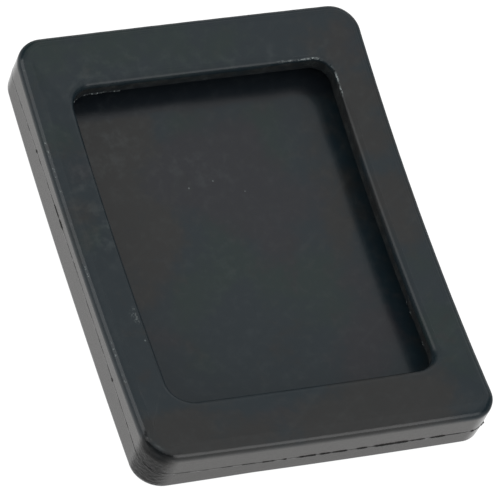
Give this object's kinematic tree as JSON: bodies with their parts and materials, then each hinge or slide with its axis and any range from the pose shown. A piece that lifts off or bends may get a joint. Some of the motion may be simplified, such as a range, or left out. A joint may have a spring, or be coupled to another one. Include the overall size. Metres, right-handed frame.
{
  "type": "rubber pedal pad",
  "caption": "Slip-on rubber pedal pad, gently curled along its length, with an undercut pocket behind a wide lip for the pedal plate and a grooved foot face.",
  "frame": {"origin": "under the middle of the pad, at the lowest point of the curled foot face", "axes": "+Z from the foot face to the lip face, +Y along the pad, +X across it"},
  "size_m": [0.0838, 0.1102, 0.016],
  "materials": {
    "rubber": "matte moulded black rubber, slightly grey with bloom"
  },
  "bodies": {
    "root": {"pedal_pad": "rubber"}
  },
  "joints": []
}
